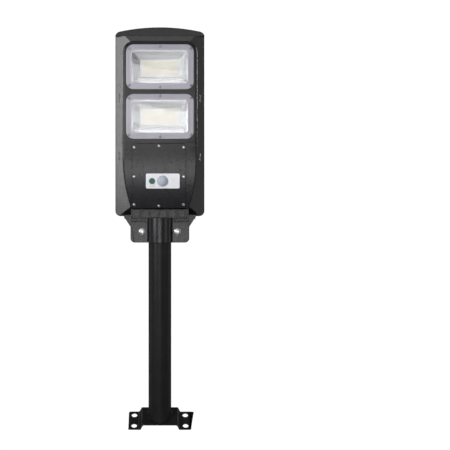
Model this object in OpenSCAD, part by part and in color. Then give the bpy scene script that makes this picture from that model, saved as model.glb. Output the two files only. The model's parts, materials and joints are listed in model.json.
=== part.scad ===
// Solar street lamp with a tube arm and a wall bracket.
// +Z runs up the arm, the light side faces -Y, the solar panel faces +Y.
// The origin is where the arm's axis meets the wall plane.

/* [Head] */
// Width of the lamp head
head_w = 190; // [186:1:194]
// Height of the head plate, from its lower edge to the crown
head_h = 403; // [402:1:408]
// Height of the clamp tail below the head plate
tail_h = 56; // [54:1:60]
// Radius of the arc along the crown
crown_r = 370; // [350:5:400]
// Radius of the head plate's upper corners
top_corner_r = 12.5; // [11:0.5:14]
// Radius of the head plate's lower corners
low_corner_r = 11; // [9:0.5:13]
// Depth of the upright rim around the solar panel
rim_depth = 10; // [9:0.5:11]
// Wall thickness of the moulded shell
wall = 2.5; // [2.2:0.1:2.8]

/* [Raised body] */
// Width of the raised body that holds the windows
raised_w = 156; // [154:1:158]
// Radius of the raised body's upper corners
raised_corner_r = 24; // [20:1:28]
// Radius of the arc that narrows its sides towards the tail
side_arc_r = 350; // [340:5:360]
// Radius of the arc that its front follows under the battery cover
front_arc_r = 687; // [670:1:710]

/* [Windows] */
// Width of a window cover
lens_w = 141; // [139:1:142]
// Height of a window cover
lens_h = 93.5; // [92:0.5:94]
// Distance between the two window centres
lens_pitch = 103.1; // [102.5:0.1:104]
// Light-emitting chips in one row
led_cols = 12; // [8:1:12]
// Rows of chips in one window
led_rows = 5; // [3:1:5]

/* [Battery cover] */
// Width of the battery cover
cover_w = 112.4; // [110:0.2:114]
// Height of the battery cover
cover_h = 137; // [135:0.5:138]
// Diameter of the motion sensor's dome
dome_d = 22.5; // [20:0.5:24]
// Diameter of the push button
button_d = 12; // [10:0.5:13]
// How far the button travels
button_travel = 0.8; // [0.5:0.1:1]

/* [Solar panel] */
// Width of the panel
panel_w = 176.5; // [174:0.5:177]
// Height of the panel
panel_h = 372; // [368:1:373]
// Width of one cell strip
cell_w = 156; // [150:1:158]
// Height of one cell strip
cell_h = 24.5; // [22:0.5:25]
// Distance from one strip to the next
cell_pitch = 27.3; // [26:0.1:27.5]
// Number of strips
cell_rows = 12; // [8:1:12]

/* [Arm and bracket] */
// Outer diameter of the arm's tube
pole_d = 48; // [46:0.5:48]
// Wall thickness of the tube
pole_wall = 1.5; // [1.2:0.1:2.5]
// Length of tube between the bracket and the clamp
arm_len = 380; // [300:10:600]
// Angle between the arm and the wall's normal
arm_lean = 34; // [30:1:38]
// Width of the bracket's flat bar
bar_h = 50; // [48:1:54]
// Thickness of the flat bar
bar_t = 3; // [2.5:0.5:3]
// Overall width of the bracket
bracket_w = 132; // [130:1:140]
// Distance from the wall to the bracket's outer face
hat_h = 16; // [14:0.5:18]
// Diameter of the wall screw holes
wall_hole_d = 12; // [9:0.5:12]

/* [Hidden] */
$fn = 64;
arc_fn = 720;

// Levels along Z
tail_z = arm_len;
wing_z = tail_z + tail_h;
top_z = wing_z + head_h;
raised_top = top_z - 38;
crease_z = top_z - 20.5;
lens_zs = [raised_top - 8 - lens_h / 2 - lens_pitch, raised_top - 8 - lens_h / 2];
step_z = lens_zs[0] - lens_h / 2 - 8.6;
cover_top = step_z - 1;
cover_low = cover_top - cover_h;
taper_z = step_z - 28;
clamp_top = tail_z + 51.5;
bolt_z = tail_z + 23;

// Levels along Y
rear_y = 30;
rim_y = rear_y - rim_depth;
front_y = -27;
slope_y = 6;
ledge_y = rear_y - 6;
cover_y = front_y + 1.5;
seat_y = front_y + 2.4;
lens_y = front_y - 0.2;
gasket_y = seat_y - 0.6;
well_y = -6;

// Pole and clamp
pole_r = pole_d / 2;
bore_r = pole_r + 0.08;
hump_r = pole_r + 4.5;
sleeve_r = pole_r + 3;
pole_top = clamp_top - 4;
web_hit_z = hat_h / cos(arm_lean);
wall_hole_x = 54;
wall_hole_v = 15;
bracket_v = web_hit_z * sin(arm_lean) - 6.8;
split_y = -3;
ear_y = -11;
floor_y = 12;
tail_half = 62;
tail_rim_y = 22;
clamp_half = 61;
ribs_half = 60.5;
tail_corner_r = 9;
bolt_x = 37.1;
bolt_r = 4;
sleeve_screw_zs = [tail_z + 11, tail_z + 32];
sleeve_screw_r = 2.5;

// Window layout
lens_corner_r = 16;
well_w = 125;
well_h = 77;
well_corner_r = 8;
floor_w = 82;
floor_h = 36;
lens_screw_x = lens_w / 2 - 6.3;
lens_screw_z = lens_h / 2 - 8.5;
lens_mid_z = lens_h / 2 - 4.6;
board_w = 102;
board_h = 48;
board_screw_x = 47.5;
board_screw_z = 14;
lead_hole_x = 45;
lead_hole_drop = 6;
lead_hole_r = 2.2;
led_pitch = 6;
led_size = [2.8, 0.8, 3.5];

// Cover layout
cover_x = -2;
cover_screw_x = cover_w / 2 - 4.6;
cover_screw_zs = [cover_top - 8, cover_top - 69, cover_low + 10];
cover_mid_zs = [cover_top - 5, cover_low + 7];
cover_wall = 2.5;
cover_gasket_t = 0.8;
seat_depth = cover_wall + cover_gasket_t;
seat_ledge = 10;
pilot_r = 1.3;
screw_r = 1.25;
clear_r = 1.7;
arc_cy = cover_y + front_arc_r;
label_z = cover_top - 78;
label_x = 6;
label_w = 70.5;
label_h = 31;
dome_x = 5.6;
button_x = -16.5;
label_drop = front_arc_r - sqrt(pow(front_arc_r, 2) - pow(step_z - label_z, 2));
label_y = cover_y + label_drop;
label_tilt = asin((step_z - label_z) / front_arc_r);
pcb_depth = 11.5;
pcb_t = 1.6;
pcb_x = 1;
button_gap = 0.3;

// Panel stack
panel_low = wing_z + 8.5;
panel_high = panel_low + panel_h;
panel_mid = (panel_low + panel_high) / 2;
panel_cut = 10.4;
sheet_y = ledge_y + 0.5;
cell_y = sheet_y + 1.2;
ribbon_y = cell_y + 0.3;
glass_y = ribbon_y + 0.2;
glass_t = 2;
cells_low = panel_mid - ((cell_rows - 1) * cell_pitch + cell_h) / 2;
retainer_t = 1.5;
retainer_xs = [head_w / 2 - 13, head_w / 2 - 4.3];
hook_zs = [wing_z + 127, wing_z + 251];
slot_x = 86;
slot_w = 3;
slot_h = 17;
hollow_w = 159;
hollow_low = wing_z + 17;

// Battery pack
cell_d = 26.3;
cell_len = 65;
battery_z = cover_low + 16;
battery_y = 9;
battery_xs = [for (i = [0:3]) (i - 1.5) * (cell_d + 0.2)];
tray_half = 55;
wire_r = 0.8;
wire_pitch = 2.2;
plug_up = 11;
plug_t = 4.4;

// Extrusions of a sketch: along_y takes one drawn in X and Z, along_x one drawn in Y and Z
module along_y(y0, y1) {
    translate([0, y1, 0]) rotate([90, 0, 0]) linear_extrude(y1 - y0) children();
}

module along_x(x0, x1) {
    translate([x0, 0, 0]) rotate([90, 0, 90]) linear_extrude(x1 - x0) children();
}

module along_z(z0, z1) {
    translate([0, 0, z0]) linear_extrude(z1 - z0) children();
}

// A cylinder along Y
module rod_y(x, z, y0, y1, r) {
    translate([x, y1, z]) rotate([90, 0, 0]) cylinder(h = y1 - y0, r = r);
}

module at_both_sides() {
    children();
    mirror([1, 0, 0]) children();
}

// A rectangle with true round corners, given by its centre
module soft_rect(w, h, r) {
    square([w, h - 2 * r], center = true);
    square([w - 2 * r, h], center = true);
    for (x = [-1, 1], z = [-1, 1]) translate([x * (w / 2 - r), z * (h / 2 - r)]) circle(r);
}

function unit(v) = v / norm(v);

// Direction of a route at its point i
function heading(route, i) =
    let (
        before = i > 0 ? unit(route[i] - route[i - 1]) : [0, 0, 0],
        after = i < len(route) - 1 ? unit(route[i + 1] - route[i]) : [0, 0, 0]
    )
    unit(before + after);

// One ring of a wire's skin, square to the route at its point i
function ring(route, i, r, sides) =
    let (t = heading(route, i), u = unit([1, 0, 0] - t[0] * t), v = cross(t, u))
    [for (k = [0:sides - 1]) route[i] + r * (cos(360 * k / sides) * u + sin(360 * k / sides) * v)];

// A wire swept along a route
module wire(route, r = wire_r) {
    sides = 10;
    count = len(route);
    polyhedron(
        points = [for (i = [0:count - 1]) each ring(route, i, r, sides)],
        faces = [
            [for (k = [0:sides - 1]) k],
            [for (k = [sides - 1:-1:0]) (count - 1) * sides + k],
            for (i = [0:count - 2], k = [0:sides - 1]) each let (
                a = i * sides + k,
                b = i * sides + (k + 1) % sides
            ) [[a, a + sides, b], [b, a + sides, b + sides]]
        ]
    );
}

// Outline of the head plate, moved inwards by inset
module head_outline(inset = 0) {
    half = head_w / 2 - inset;
    corner_x = head_w / 2 - top_corner_r;
    reach = crown_r - top_corner_r;
    arc_z = top_z - crown_r;
    corner_z = arc_z + sqrt(reach * reach - corner_x * corner_x);
    meet_x = corner_x * (crown_r - inset) / reach;
    low_z = wing_z + inset;
    low_x = head_w / 2 - low_corner_r;
    intersection() {
        translate([0, arc_z]) circle(crown_r - inset, $fn = arc_fn);
        translate([-meet_x, low_z + 20]) square([2 * meet_x, head_h]);
    }
    translate([-half, wing_z + low_corner_r]) square([2 * half, corner_z - wing_z - low_corner_r]);
    translate([-low_x, low_z]) square([2 * low_x, 60]);
    for (side = [-1, 1]) {
        translate([side * corner_x, corner_z]) circle(top_corner_r - inset);
        translate([side * low_x, wing_z + low_corner_r]) circle(low_corner_r - inset);
    }
}

// Outline of the raised body, moved inwards by inset
module raised_outline(inset = 0) {
    half = raised_w / 2 - inset;
    r = raised_corner_r - inset;
    high = raised_top - inset;
    translate([-half, taper_z]) square([2 * half, high - taper_z - r]);
    translate([-(half - r), taper_z]) square([2 * (half - r), high - taper_z]);
    for (side = [-1, 1]) translate([side * (half - r), high - r]) circle(r);
    intersection() {
        side_disc(-1, inset);
        side_disc(1, inset);
        translate([-half, clamp_top]) square([2 * half, taper_z - clamp_top]);
    }
    translate([inset - ribs_half, clamp_top]) square([2 * (ribs_half - inset), cover_low - clamp_top]);
}

module side_disc(side, inset) {
    translate([side * (raised_w / 2 - side_arc_r), taper_z]) circle(side_arc_r - inset, $fn = arc_fn);
}

// Everything behind the raised body's front, moved back by inset
module front_profile(inset = 0) {
    translate([front_y + inset, step_z + inset]) square([60, top_z - step_z]);
    intersection() {
        translate([arc_cy, step_z]) circle(front_arc_r - inset, $fn = arc_fn);
        translate([front_y, cover_low]) square([60, step_z + inset - cover_low]);
    }
    translate([well_y + inset, clamp_top]) square([30, cover_low - clamp_top]);
}

// Cross-section of the head plate, seen along Z
module wing_section(shift = 0) {
    half = head_w / 2 + 1;
    polygon([
        [-half, rear_y + 1], [half, rear_y + 1], [half, rim_y + shift],
        [tail_half, slope_y + shift], [-tail_half, slope_y + shift], [-half, rim_y + shift]
    ]);
}

// Cross-section of the head plate, seen along X
module crown_section(shift = 0) {
    polygon([
        [rear_y + 1, wing_z - 1], [rear_y + 1, top_z + 1], [rim_y + shift, top_z + 1],
        [11 + shift, crease_z], [slope_y + shift, crease_z - 14], [slope_y + shift, wing_z + 20],
        [rim_y - 3 + shift, wing_z - 1]
    ]);
}

module tail_outline(inset = 0) {
    slant = 15.5 - inset / 2;
    r = tail_corner_r - inset;
    half = tail_half - inset;
    low = tail_z + inset;
    polygon([
        [-half, low + r], [-half + r, low], [half - r, low], [half, low + r], [half, wing_z - 23],
        [half + slant, wing_z + 1], [-half - slant, wing_z + 1], [-half, wing_z - 23]
    ]);
    for (side = [-1, 1]) translate([side * (half - r), low + r]) circle(r);
}

module panel_outline(grow = 0) {
    half = panel_w / 2 + grow;
    low = panel_low - grow;
    high = panel_high + grow;
    cut = panel_cut + grow / 2;
    polygon([
        [-half, low + cut], [-half + cut, low], [half - cut, low], [half, low + cut],
        [half, high - cut], [half - cut, high], [-half + cut, high], [-half, high - cut]
    ]);
}

module cover_outline(shrink = 0) {
    translate([cover_x, (cover_top + cover_low) / 2])
        soft_rect(cover_w - 2 * shrink, cover_h - 2 * shrink, max(3 - shrink / 2, 1));
}

// A curved layer under the cover's outer face, from depth d0 to d1
module cover_layer(d0, d1) {
    along_x(-raised_w, raised_w) intersection() {
        difference() {
            translate([arc_cy, step_z]) circle(front_arc_r - d0, $fn = arc_fn);
            translate([arc_cy, step_z]) circle(front_arc_r - d1, $fn = arc_fn);
        }
        translate([front_y - 5, cover_low - 5]) square([45, cover_h + 5.9]);
    }
}

module for_cover_screws() {
    for (side = [-1, 1], z = cover_screw_zs) cover_spot(cover_x + side * cover_screw_x, z) children();
    for (z = cover_mid_zs) cover_spot(cover_x, z) children();
}

// Puts a child's +Z along the cover's outward normal at x, z
module cover_spot(x, z) {
    rise = step_z - z;
    y = arc_cy - sqrt(front_arc_r * front_arc_r - rise * rise);
    translate([x, y, z]) rotate([90 + asin(rise / front_arc_r), 0, 0]) children();
}

module for_lens_screws(z) {
    for (side = [-1, 1], up = [-1, 1]) spot(side * lens_screw_x, z + up * lens_screw_z) children();
    for (up = [-1, 1]) spot(0, z + up * lens_mid_z) children();
}

module spot(x, z) {
    translate([x, 0, z]) children();
}

module for_board_screws(z) {
    for (side = [-1, 1], up = [-1, 1]) spot(side * board_screw_x, z + up * board_screw_z) children();
}

module on_wall() {
    rotate([arm_lean, 0, 0]) children();
}

// ---- Arm and bracket ----

module wall_bracket() {
    ear_x = bracket_w / 2;
    foot_x = 43.5;
    web_x = 38.5;
    fold = bar_t + 0.2;
    color("#1d1d20") on_wall() translate([0, bracket_v, 0]) difference() {
        intersection() {
            translate([0, bar_h / 2, 0]) rotate([90, 0, 0]) linear_extrude(bar_h) polygon([
                [ear_x, 0], [ear_x, bar_t], [foot_x, bar_t], [web_x, hat_h], [-web_x, hat_h],
                [-foot_x, bar_t], [-ear_x, bar_t], [-ear_x, 0], [-foot_x + fold, 0],
                [-web_x + fold, hat_h - bar_t], [web_x - fold, hat_h - bar_t], [foot_x - fold, 0]
            ]);
            linear_extrude(hat_h) soft_rect(bracket_w, bar_h, 4);
        }
        for (x = [-wall_hole_x, wall_hole_x], v = [-wall_hole_v, wall_hole_v])
            translate([x, v, -1]) cylinder(h = bar_t + 2, d = wall_hole_d);
    }
}

// The tube, cut off along the bracket's outer face
module pole() {
    cut = 200;
    color("#18181a") difference() {
        cylinder(h = pole_top, r = pole_r, $fn = 128);
        translate([0, 0, -1]) cylinder(h = pole_top + 2, r = pole_r - pole_wall, $fn = 128);
        on_wall() translate([-cut / 2, -cut / 2, hat_h - cut]) cube(cut);
    }
}

module weld_bead() {
    bead = 3;
    leg = 2.4;
    reach = 60;
    color("#202022") intersection() {
        difference() {
            cylinder(h = reach, r = pole_r + bead, $fn = 128);
            translate([0, 0, -1]) cylinder(h = reach + 2, r = pole_r + 0.02, $fn = 128);
        }
        on_wall() translate([-reach, bracket_v - bar_h / 2, hat_h]) cube([2 * reach, bar_h, leg]);
    }
}

// ---- Housing ----

// The head plate: sloping wings with a crown that spans their full width
module plate_solid() {
    intersection() {
        along_y(-10, rear_y) head_outline();
        along_x(-head_w, head_w) crown_section();
        union() {
            along_z(wing_z - 5, crease_z) wing_section();
            translate([-head_w, -10, crease_z]) cube([2 * head_w, 50, 30]);
        }
    }
}

module plate_hollow() {
    shift = wall + 0.3;
    intersection() {
        translate([-hollow_w / 2, -10, hollow_low]) cube([hollow_w, ledge_y + 10, panel_h - 18]);
        along_z(wing_z, top_z) wing_section(shift);
        along_x(-head_w, head_w) crown_section(shift);
    }
}

module raised_solid() {
    intersection() {
        along_y(front_y - 1, ledge_y - 2) raised_outline();
        along_x(-head_w, head_w) front_profile();
    }
}

module raised_hollow() {
    intersection() {
        along_y(front_y - 1, ledge_y + 0.5) raised_outline(wall);
        along_x(-head_w, head_w) front_profile(wall + 1);
        translate([-head_w, -40, hollow_low]) cube([2 * head_w, 80, head_h]);
    }
}

module well_solid(z) {
    along_y(front_y, well_y + wall) translate([0, z]) soft_rect(well_w + 2 * wall, well_h + 2 * wall, 10);
}

// A block under a window cover's rim that its screws bite into
module lens_frame(z) {
    along_y(front_y, seat_y + 3) translate([0, z]) soft_rect(lens_w + 3, lens_h + 3, lens_corner_r + 1);
    for_lens_screws(z) rod_y(0, 0, seat_y, seat_y + 9, 3.2);
}

module window_cut(z) {
    along_y(front_y - 1, seat_y) translate([0, z])
        soft_rect(lens_w + 0.6, lens_h + 0.6, lens_corner_r + 0.3);
    along_y(front_y - 1, well_y) translate([0, z]) soft_rect(well_w, well_h, well_corner_r);
    for_lens_screws(z) rod_y(0, 0, seat_y - 1, seat_y + 7, pilot_r);
    for_board_screws(z) rod_y(0, 0, well_y - 1, well_y + wall - 0.5, pilot_r);
    rod_y(lead_hole_x, z - lead_hole_drop, well_y - 1, well_y + wall + 1, lead_hole_r);
}

module cover_seat() {
    intersection() {
        cover_layer(seat_depth, seat_depth + 5);
        along_y(front_y, 20) difference() {
            cover_outline(-2);
            cover_outline(seat_ledge);
        }
    }
}

module cover_recess() {
    intersection() {
        cover_layer(-2, seat_depth);
        along_y(front_y - 5, 20) cover_outline(-0.3);
    }
    intersection() {
        cover_layer(-2, 14);
        along_y(front_y - 5, 20) cover_outline(seat_ledge);
    }
    for_cover_screws() translate([0, 0, -seat_depth - 4]) cylinder(h = seat_depth + 4, r = pilot_r);
}

module rib_cuts() {
    pitch = 19.2;
    gap = 13.2;
    for (i = [-3:2]) {
        x = cover_x - 1 + (i + 0.5) * pitch - gap / 2;
        translate([x, front_y, clamp_top + 2]) cube([gap, 24, cover_low - clamp_top - 4]);
    }
}

module rib_bank() {
    low_y = -10;
    along_x(-ribs_half, ribs_half) polygon([
        [low_y + 5, clamp_top], [low_y, clamp_top], [low_y - 1.6, cover_low], [low_y + 5, cover_low]
    ]);
}

module tail_solid() {
    along_y(split_y, floor_y) tail_outline();
    along_y(split_y, tail_rim_y) difference() {
        tail_outline();
        tail_outline(4);
    }
    translate([-tail_half - 13, split_y, wing_z - 6]) cube([2 * tail_half + 26, rim_y - split_y, 8]);
    intersection() {
        translate([0, 0, tail_z]) cylinder(h = clamp_top - tail_z, r = sleeve_r, $fn = 128);
        translate([-60, split_y, tail_z]) cube([120, 60, 80]);
    }
}

module tail_cut() {
    translate([0, 0, tail_z - 1]) cylinder(h = pole_top + 1.5 - tail_z, r = bore_r, $fn = 128);
    for (x = [-bolt_x, bolt_x]) rod_y(x, bolt_z, split_y - 1, floor_y + 1, bolt_r + 0.3);
    for (z = sleeve_screw_zs) rod_y(0, z, pole_r - 3, sleeve_r + 1, sleeve_screw_r + 0.05);
}

module panel_hooks() {
    hook = [4.5, 1.5, 12];
    for (z = hook_zs)
        translate([panel_w / 2 - 1.2, glass_y + glass_t + 0.05, z - hook[2] / 2]) cube(hook);
}

module housing() {
    color("#1b1b1e") difference() {
        union() {
            difference() {
                union() {
                    plate_solid();
                    raised_solid();
                    tail_solid();
                }
                plate_hollow();
                raised_hollow();
                along_y(ledge_y, rear_y + 1) panel_outline(0.4);
            }
            for (z = lens_zs) well_solid(z);
            for (z = lens_zs) lens_frame(z);
            cover_seat();
            rib_bank();
            at_both_sides() panel_hooks();
        }
        for (z = lens_zs) window_cut(z);
        cover_recess();
        rib_cuts();
        tail_cut();
        at_both_sides() for (z = hook_zs)
            translate([slot_x - slot_w / 2, -10, z - slot_h / 2]) cube([slot_w, 60, slot_h]);
        retainer_seats();
    }
}

// ---- Pole clamp ----

module clamp_front() {
    color("#1d1d20") difference() {
        union() {
            along_y(ear_y, split_y - 1) clamp_outline();
            intersection() {
                translate([0, 0, tail_z]) cylinder(h = clamp_top - tail_z, r = hump_r, $fn = 128);
                translate([-60, -60, tail_z]) cube([120, 59 + split_y, 80]);
            }
        }
        translate([0, 0, tail_z - 1]) cylinder(h = pole_top + 1.5 - tail_z, r = bore_r, $fn = 128);
        at_both_sides() translate([hump_r + 1, ear_y - 1, clamp_top - 7.5]) cube([50, 3, 10]);
        for (x = [-bolt_x, bolt_x]) rod_y(x, bolt_z, ear_y - 1, split_y, bolt_r + 0.3);
    }
}

module clamp_outline() {
    r = tail_corner_r;
    translate([-clamp_half, tail_z + r]) square([2 * clamp_half, clamp_top - tail_z - r]);
    translate([-clamp_half + r, tail_z]) square([2 * (clamp_half - r), 20]);
    for (side = [-1, 1]) translate([side * (clamp_half - r), tail_z + r]) circle(r);
}

module clamp_bolts() {
    head_r = 7.5;
    head_h = 5.3;
    color("silver") for (x = [-bolt_x, bolt_x]) {
        translate([x, ear_y, bolt_z]) rotate([90, 30, 0]) cylinder(h = head_h, r = head_r, $fn = 6);
        rod_y(x, bolt_z, ear_y, floor_y + 12, bolt_r);
    }
}

module clamp_washers() {
    color("silver") for (x = [-bolt_x, bolt_x]) difference() {
        rod_y(x, bolt_z, floor_y, floor_y + 1.6, 8.7);
        rod_y(x, bolt_z, floor_y - 1, floor_y + 3, bolt_r + 0.3);
    }
}

module clamp_nuts() {
    color("silver") for (x = [-bolt_x, bolt_x]) difference() {
        translate([x, floor_y + 8.2, bolt_z]) rotate([90, 30, 0]) cylinder(h = 6.5, r = 7.5, $fn = 6);
        rod_y(x, bolt_z, floor_y, floor_y + 12, bolt_r + 0.05);
    }
}

module sleeve_screws() {
    color("silver") for (z = sleeve_screw_zs) {
        rod_y(0, z, pole_r + 0.5, sleeve_r, sleeve_screw_r);
        rod_y(0, z, sleeve_r, sleeve_r + 2, 3.7);
    }
}

// ---- Solar panel ----

module panel_seal() {
    seal_w = panel_w - 10.5;
    seal_h = panel_h - 12;
    color("#2b2b2d") along_y(ledge_y + 0.02, sheet_y) difference() {
        translate([0, panel_mid]) square([seal_w, seal_h], center = true);
        translate([0, panel_mid]) square([seal_w - 6, seal_h - 6], center = true);
    }
}

module panel_backsheet() {
    color("white") along_y(sheet_y, cell_y) panel_outline();
}

module solar_cells() {
    color("#2a3a6b") for (i = [0:cell_rows - 1])
        translate([-cell_w / 2, cell_y, cells_low + i * cell_pitch]) cube([cell_w, 0.3, cell_h]);
}

module cell_ribbons() {
    ribbon_w = 2;
    high = (cell_rows - 1) * cell_pitch + cell_h - 2;
    color("#d8dce0") for (i = [-2:2])
        translate([i * cell_w / 5 - ribbon_w / 2, ribbon_y, cells_low + 1]) cube([ribbon_w, 0.15, high]);
}

module panel_glass() {
    color([0.85, 0.9, 0.95, 0.35]) along_y(glass_y, glass_y + glass_t) panel_outline();
}

module panel_terminals() {
    color("#303030") translate([-12, sheet_y - 5, step_z + 12]) cube([24, 5, 14]);
}

// Plates over the panel's cut corners
module retainer_corner(grow) {
    x = panel_w / 2;
    z = panel_h / 2;
    reach = panel_cut + 3 + grow;
    lap = 1.5 + grow;
    polygon([
        [x - reach, z - lap], [x - reach, z + 9], [x + 9, z + 9], [x + 9, z - reach], [x - lap, z - reach]
    ]);
}

module retainer_pair(grow = 0) {
    intersection() {
        translate([0, panel_mid]) {
            retainer_corner(grow);
            mirror([0, 1]) retainer_corner(grow);
        }
        head_outline(1.2 - grow);
    }
}

module retainer_spots() {
    for (z = [0, 1]) {
        side = z == 0 ? 1 : -1;
        base = z == 0 ? panel_low : panel_high;
        translate([retainer_xs[0], 0, base - side * 4]) children();
        translate([retainer_xs[1], 0, base + side * 4.5]) children();
    }
}

module retainer_seats() {
    seat = glass_y + glass_t;
    at_both_sides() along_y(seat, rear_y + 1) retainer_pair(0.2);
    at_both_sides() retainer_spots() rod_y(0, 0, seat - 4, seat + 1, 1.25);
}

module corner_retainers() {
    seat = glass_y + glass_t;
    color("#3a3a3d") at_both_sides() difference() {
        along_y(seat, seat + retainer_t) retainer_pair();
        retainer_spots() rod_y(0, 0, seat - 1, seat + 3, 1.6);
    }
}

module retainer_screws() {
    seat = glass_y + glass_t;
    color("silver") at_both_sides() retainer_spots() {
        rod_y(0, 0, seat - 3, seat + retainer_t, 1.2);
        rod_y(0, 0, seat + retainer_t, seat + retainer_t + 1.1, 2.4);
    }
}

// ---- Windows ----

// A clear cover with a flat flange and a raised middle
module lens(z) {
    raised = 1.2;
    pane_w = well_w - 6;
    pane_h = well_h - 6;
    color([0.9, 0.93, 0.97, 0.45]) difference() {
        union() {
            along_y(lens_y, gasket_y) translate([0, z]) soft_rect(lens_w, lens_h, lens_corner_r);
            along_y(lens_y - raised, gasket_y) translate([0, z]) soft_rect(pane_w, pane_h, 8);
        }
        along_y(lens_y + 0.8, seat_y) translate([0, z]) soft_rect(pane_w - 3, pane_h - 3, 7);
        for_lens_screws(z) rod_y(0, 0, lens_y - 1, seat_y, clear_r);
    }
}

module lens_gasket(z) {
    color("#b9bcc2") along_y(gasket_y, seat_y) difference() {
        translate([0, z]) soft_rect(lens_w - 0.6, lens_h - 0.6, lens_corner_r);
        translate([0, z]) soft_rect(well_w + 3, well_h + 3, well_corner_r);
        for (side = [-1, 1], up = [-1, 1])
            translate([side * lens_screw_x, z + up * lens_screw_z]) circle(clear_r);
        for (up = [-1, 1]) translate([0, z + up * lens_mid_z]) circle(clear_r);
    }
}

module lens_screws() {
    color("silver") for (z = lens_zs) for_lens_screws(z) {
        rod_y(0, 0, lens_y - 1.4, lens_y, 2.6);
        rod_y(0, 0, lens_y, seat_y + 6, screw_r);
    }
}

// A sloping tray with an open floor, built from its four flat walls
module reflector(z) {
    mouth_y = seat_y + 0.1;
    foot_y = well_y - 1.7;
    sheet = 1.2;
    gap = 0.6;
    lip = 3.4;
    color("#e4e6e8") translate([0, 0, z]) difference() {
        intersection() {
            frustum(
                well_w - gap, well_h - gap, floor_w + 2 * sheet, floor_h + 2 * sheet, mouth_y, foot_y
            );
            along_y(mouth_y - 1, foot_y + 1) soft_rect(well_w - gap, well_h - gap, well_corner_r);
        }
        intersection() {
            frustum(well_w - gap - lip, well_h - gap - lip, floor_w, floor_h, mouth_y - 0.01, foot_y + 0.01);
            along_y(mouth_y - 1, foot_y + 1)
                soft_rect(well_w - gap - lip, well_h - gap - lip, well_corner_r - lip / 2);
        }
    }
}

// A block that narrows from w0 by h0 at y0 to w1 by h1 at y1
module frustum(w0, h0, w1, h1, y0, y1) {
    polyhedron(
        points = [
            for (s = [[w0, h0, y0], [w1, h1, y1]])
                for (c = [[-1, -1], [1, -1], [1, 1], [-1, 1]])
                    [c[0] * s[0] / 2, s[2], c[1] * s[1] / 2]
        ],
        faces = [
            [0, 3, 2, 1], [4, 5, 6, 7], [0, 1, 5, 4], [1, 2, 6, 5], [2, 3, 7, 6], [3, 0, 4, 7]
        ]
    );
}

module led_board(z) {
    color("#e9eaea") difference() {
        along_y(well_y - 1.6, well_y) translate([0, z]) square([board_w, board_h], center = true);
        for_board_screws(z) rod_y(0, 0, well_y - 3, well_y + 1, 1.6);
        rod_y(lead_hole_x, z - lead_hole_drop, well_y - 3, well_y + 1, lead_hole_r);
    }
}

module leds(z) {
    color("#efe6a8") for (i = [0:led_cols - 1], j = [0:led_rows - 1]) {
        x = (i - (led_cols - 1) / 2) * led_pitch;
        up = (j - (led_rows - 1) / 2) * led_pitch;
        translate([x - led_size[0] / 2, well_y - 1.6 - led_size[1], z + up - led_size[2] / 2]) cube(led_size);
    }
}

module led_board_screws() {
    color("silver") for (z = lens_zs) for_board_screws(z) {
        rod_y(0, 0, well_y - 2.8, well_y - 1.6, 2.3);
        rod_y(0, 0, well_y - 1.6, well_y + wall - 0.6, screw_r);
    }
}

// ---- Battery cover ----

module battery_cover() {
    post_r = 2.6;
    color("#1e1e21") difference() {
        union() {
            intersection() {
                cover_layer(0, cover_wall);
                along_y(front_y - 5, 20) cover_outline();
            }
            for (p = board_spots())
                label_spot(p) translate([0, 0, -pcb_depth]) cylinder(h = pcb_depth - 1, r = post_r);
        }
        for_cover_screws() translate([0, 0, -6]) cylinder(h = 10, r = clear_r);
        dome_and_button_holes();
        for (p = board_spots()) label_spot(p) translate([0, 0, -pcb_depth - 1]) cylinder(h = 8, r = 1.1);
    }
}

module dome_and_button_holes() {
    label_spot([dome_x, 0]) translate([0, 0, -9]) cylinder(h = 20, d = dome_d + 0.4);
    label_spot([button_x, 0]) translate([0, 0, -9]) cylinder(h = 20, d = button_d + 2 * button_gap);
}

// Puts a child's +Z along the outward normal at the label, p = [x, up]
module label_spot(p) {
    translate([0, label_y, label_z]) rotate([90 + label_tilt, 0, 0]) translate([p[0], p[1], 0]) children();
}

function board_spots() = [for (x = [pcb_x - 38, pcb_x + 38], up = [-12, 12]) [x, up]];

module cover_gasket() {
    color("#2b2b2d") difference() {
        intersection() {
            cover_layer(cover_wall, seat_depth);
            along_y(front_y - 5, 20) difference() {
                cover_outline(0.5);
                cover_outline(8.5);
            }
        }
        for_cover_screws() translate([0, 0, -6]) cylinder(h = 10, r = clear_r);
    }
}

module cover_screws() {
    color("silver") for_cover_screws() {
        translate([0, 0, 0.15]) cylinder(h = 1.5, r = 2.9);
        translate([0, 0, -6.8]) cylinder(h = 7, r = screw_r);
    }
}

module sensor_label() {
    color("#f4f4f4") difference() {
        intersection() {
            cover_layer(-0.35, -0.02);
            along_y(front_y - 5, 20) translate([label_x, label_z]) soft_rect(label_w, label_h, 3);
        }
        dome_and_button_holes();
    }
}

module pir_lens() {
    r = dome_d / 2;
    rise = 7;
    ball = (r * r + rise * rise) / (2 * rise);
    color("#e8ecf6") label_spot([dome_x, 0]) difference() {
        union() {
            intersection() {
                translate([0, 0, rise - ball + 0.4]) sphere(ball, $fn = 96);
                cylinder(h = 20, r = r);
            }
            translate([0, 0, -3.2]) cylinder(h = 3.6, r = r);
            translate([0, 0, -4.4]) cylinder(h = 1.2, r = r + 2.2);
        }
        intersection() {
            translate([0, 0, rise - ball - 0.6]) sphere(ball, $fn = 96);
            translate([0, 0, -1]) cylinder(h = 20, r = r - 1);
        }
        translate([0, 0, -5]) cylinder(h = 5.4, r = r - 1);
    }
}

module pir_sensor() {
    color("#c9c9c4") label_spot([dome_x, 0]) {
        translate([0, 0, -pcb_depth]) cylinder(h = 4.2, r = 4.6);
        translate([0, 0, -pcb_depth]) cylinder(h = 0.6, r = 5);
    }
}

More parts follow.
